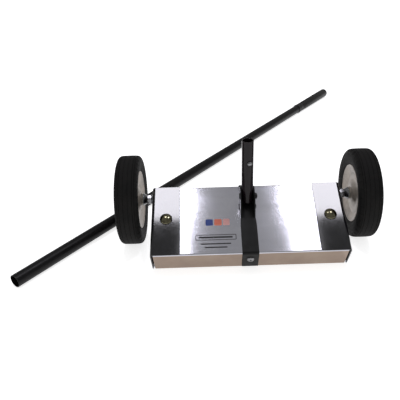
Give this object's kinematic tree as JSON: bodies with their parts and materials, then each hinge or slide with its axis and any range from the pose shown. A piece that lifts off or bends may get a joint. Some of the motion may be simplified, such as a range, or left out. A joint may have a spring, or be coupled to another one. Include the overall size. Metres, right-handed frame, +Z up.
{
  "type": "magnetic nail sweeper",
  "caption": "Two-wheeled magnetic sweeper tipped on its front edge: flat magnet housing, folding handle socket, and its long tube handle lying loose behind it.",
  "frame": {"origin": "on the floor, in the middle of the outline of the whole object with its handle", "axes": "+X to the sweeper's right across the wheels, +Y back from the housing's front edge towards the handle's grip, +Z up"},
  "size_m": [0.9192, 1.2333, 0.2615],
  "materials": {
    "bright_sheet": "bright mill sheet",
    "black_gloss_steel": "gloss black enamel on steel",
    "black_hardware": "black oxide",
    "zinc_plated": "yellow zinc plate",
    "plain_steel": "plain mild steel",
    "ferrite": "sintered ferrite",
    "rubber": "moulded rubber",
    "rim_paint": "grey paint on pressed steel",
    "nylon": "natural nylon",
    "vinyl": "dipped vinyl"
  },
  "bodies": {
    "housing": {"axle_bolt_left": "zinc_plated", "axle_bolt_right": "zinc_plated", "axle_nut_left": "zinc_plated", "axle_nut_right": "zinc_plated", "axle_spacer_left": "zinc_plated", "axle_spacer_right": "zinc_plated", "axle_washer_left": "zinc_plated", "axle_washer_right": "zinc_plated", "backing_plate": "plain_steel", "bottom_plate": "bright_sheet", "carriage_bolt_left": "zinc_plated", "carriage_bolt_right": "zinc_plated", "center_strap": "black_gloss_steel", "end_bracket_left": "black_gloss_steel", "end_bracket_right": "black_gloss_steel", "housing_cover": "bright_sheet", "lock_nut_left": "zinc_plated", "lock_nut_right": "zinc_plated", "lock_washer_left": "zinc_plated", "lock_washer_right": "zinc_plated", "magnet_1": "ferrite", "magnet_2": "ferrite", "magnet_3": "ferrite", "pivot_bolt": "black_hardware", "pivot_nut": "black_hardware", "plate_nut_left": "plain_steel", "plate_nut_right": "plain_steel", "plate_washer_left": "plain_steel", "plate_washer_right": "plain_steel", "spacer_sleeve_left": "plain_steel", "spacer_sleeve_right": "plain_steel", "strap_nut_front": "zinc_plated", "strap_nut_rear": "zinc_plated", "strap_screw_front": "zinc_plated", "strap_screw_rear": "zinc_plated"},
    "wheel_left": {"tyre_left": "rubber", "rim_outer_left": "rim_paint", "rim_inner_left": "rim_paint", "hub_left": "rim_paint", "bush_outer_left": "nylon", "bush_inner_left": "nylon"},
    "wheel_right": {"tyre_right": "rubber", "rim_outer_right": "rim_paint", "rim_inner_right": "rim_paint", "hub_right": "rim_paint", "bush_outer_right": "nylon", "bush_inner_right": "nylon"},
    "socket": {"handle_socket": "black_gloss_steel", "button_spring": "plain_steel"},
    "button": {"snap_button": "zinc_plated"},
    "handle": {"handle_tube": "black_gloss_steel", "handle_grip": "vinyl"}
  },
  "joints": [
    {"name": "wheel_left_spin", "type": "hinge", "parent": "housing", "child": "wheel_left", "pos_m": [-0.21653, -0.43013, 0.1016], "axis": [1, 0, 0], "continuous": true},
    {"name": "wheel_right_spin", "type": "hinge", "parent": "housing", "child": "wheel_right", "pos_m": [0.30507, -0.43013, 0.1016], "axis": [1, 0, 0], "continuous": true},
    {"name": "socket_fold", "type": "hinge", "parent": "housing", "child": "socket", "pos_m": [0.04427, -0.47917, 0.12819], "axis": [1, 0, 0], "range_deg": [-65, 110]},
    {"name": "button_press", "type": "slide", "parent": "socket", "child": "button", "axis": [-0.2419, 0.9698, 0.0321], "range_m": [0, 0.0045], "stiffness_N_per_m": 600, "springref_m": -0.004, "deforming": ["button_spring"]},
    {"name": "handle_lift", "type": "slide", "parent": "housing", "child": "handle", "axis": [0, 0.6, 0.8], "range_m": [0, 0.3]}
  ]
}
